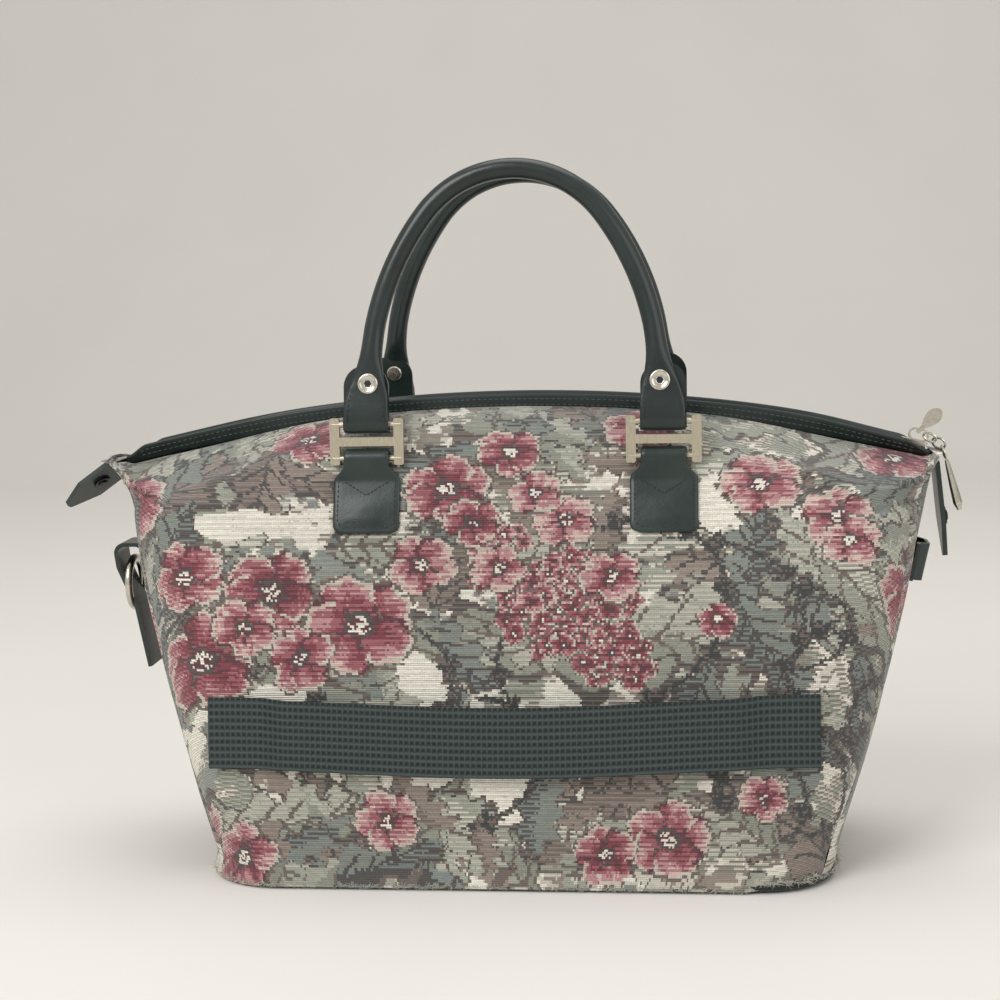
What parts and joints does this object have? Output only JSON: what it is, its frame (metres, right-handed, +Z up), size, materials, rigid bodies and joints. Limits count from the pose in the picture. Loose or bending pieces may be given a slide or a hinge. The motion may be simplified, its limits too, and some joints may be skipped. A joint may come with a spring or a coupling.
{
  "type": "carpet bag",
  "caption": "Tapestry travel satchel with a top zip, rolled leather handles on H-shaped metal links, a luggage band and leather end tabs.",
  "frame": {"origin": "middle of the base, on the surface the bag stands on", "axes": "+Z up, +X along the bag towards the end with the zip slider, -Y is the rear face with the luggage band"},
  "size_m": [0.581, 0.1941, 0.4451],
  "materials": {
    "board": "stiff base board",
    "cord": "rope core",
    "leather_green": "dark green smooth leather, satin",
    "lining_cloth": "plain dark lining cloth",
    "nickel_brushed": "brushed warm nickel",
    "nickel_polished": "polished nickel",
    "stud_black": "black press stud",
    "tapestry": "floral jacquard tapestry weave",
    "vinyl_base": "dark green vinyl, glossy",
    "webbing": "dark green ribbed elastic webbing",
    "zip_coil": "dark green nylon coil",
    "zip_tape": "dark green zip tape"
  },
  "bodies": {
    "bag": {"base_board": "board", "base_panel": "vinyl_base", "base_piping": "vinyl_base", "front_left_tab": "leather_green", "front_panel": "tapestry", "front_right_tab": "leather_green", "front_zip_tape": "zip_tape", "front_zip_trim": "leather_green", "left_gusset": "tapestry", "left_side_strap": "leather_green", "left_tab_stud": "stud_black", "left_zip_end_tab": "leather_green", "lining": "lining_cloth", "luggage_band": "webbing", "rear_left_tab": "leather_green", "rear_panel": "tapestry", "rear_right_tab": "leather_green", "rear_zip_tape": "zip_tape", "rear_zip_trim": "leather_green", "right_gusset": "tapestry", "right_side_loop": "leather_green", "right_tab_stud": "stud_black", "right_zip_end_tab": "leather_green", "zip_coil": "zip_coil", "zip_slider": "nickel_polished"},
    "rear_left_link": {"rear_left_link": "nickel_brushed", "rear_left_link_pins": "nickel_brushed"},
    "rear_right_link": {"rear_right_link": "nickel_brushed", "rear_right_link_pins": "nickel_brushed"},
    "rear_handle": {"rear_grip": "leather_green", "rear_grip_core": "cord", "rear_left_chape": "leather_green", "rear_right_chape": "leather_green", "rear_screws": "nickel_polished", "rear_screw_posts": "nickel_polished"},
    "front_left_link": {"front_left_link": "nickel_brushed", "front_left_link_pins": "nickel_brushed"},
    "front_right_link": {"front_right_link": "nickel_brushed", "front_right_link_pins": "nickel_brushed"},
    "front_handle": {"front_grip": "leather_green", "front_grip_core": "cord", "front_left_chape": "leather_green", "front_right_chape": "leather_green", "front_screws": "nickel_polished", "front_screw_posts": "nickel_polished"},
    "leaf_pull": {"leaf_pull": "nickel_polished"},
    "chain_ring_1": {"chain_ring_1": "nickel_polished"},
    "chain_ring_2": {"chain_ring_2": "nickel_polished"},
    "chain_ring_3": {"chain_ring_3": "nickel_polished"},
    "bar_pull": {"bar_pull": "nickel_polished"},
    "left_side_ring": {"left_side_ring": "nickel_polished"}
  },
  "joints": [
    {"name": "rear_link_swing", "type": "hinge", "parent": "bag", "child": "rear_left_link", "pos_m": [-0.0915, -0.0546, 0.263], "axis": [1, 0, 0], "range_deg": [0, 70]},
    {"name": "rear_right_link_swing", "type": "hinge", "parent": "bag", "child": "rear_right_link", "pos_m": [0.0915, -0.0546, 0.263], "axis": [1, 0, 0], "range_deg": [0, 70]},
    {"name": "rear_handle_swing", "type": "hinge", "parent": "rear_left_link", "child": "rear_handle", "pos_m": [-0.0915, -0.0546, 0.284], "axis": [1, 0, 0], "range_deg": [-8, 70]},
    {"name": "front_link_swing", "type": "hinge", "parent": "bag", "child": "front_left_link", "pos_m": [-0.0915, 0.0546, 0.263], "axis": [-1, 0, 0], "range_deg": [0, 70]},
    {"name": "front_right_link_swing", "type": "hinge", "parent": "bag", "child": "front_right_link", "pos_m": [0.0915, 0.0546, 0.263], "axis": [-1, 0, 0], "range_deg": [0, 70]},
    {"name": "front_handle_swing", "type": "hinge", "parent": "front_left_link", "child": "front_handle", "pos_m": [-0.0915, 0.0546, 0.284], "axis": [-1, 0, 0], "range_deg": [-8, 70]},
    {"name": "leaf_pull_tilt", "type": "hinge", "parent": "bag", "child": "leaf_pull", "pos_m": [0.25039, 0, 0.27069], "axis": [0, -1, 0], "range_deg": [0, 90]},
    {"name": "chain_ring_1_swing", "type": "hinge", "parent": "bag", "child": "chain_ring_1", "pos_m": [0.25348, 0, 0.26848], "axis": [0, -1, 0], "range_deg": [0, 30]},
    {"name": "chain_ring_2_swing", "type": "hinge", "parent": "chain_ring_1", "child": "chain_ring_2", "pos_m": [0.25982, 0, 0.26617], "axis": [0, -1, 0], "range_deg": [0, 20]},
    {"name": "chain_ring_3_swing", "type": "hinge", "parent": "chain_ring_2", "child": "chain_ring_3", "pos_m": [0.26484, 0, 0.26166], "axis": [0, -1, 0], "range_deg": [0, 20]},
    {"name": "bar_pull_swing", "type": "hinge", "parent": "chain_ring_3", "child": "bar_pull", "pos_m": [0.26749, 0, 0.25348], "axis": [0, -1, 0], "range_deg": [0, 45]},
    {"name": "side_ring_swing", "type": "hinge", "parent": "bag", "child": "left_side_ring", "pos_m": [-0.2585, 0, 0.193], "axis": [0, 1, 0], "range_deg": [0, 60]}
  ],
  "couplings": [
    {"joint": "rear_right_link_swing", "follows": "rear_link_swing", "ratio": 1},
    {"joint": "front_right_link_swing", "follows": "front_link_swing", "ratio": 1}
  ]
}
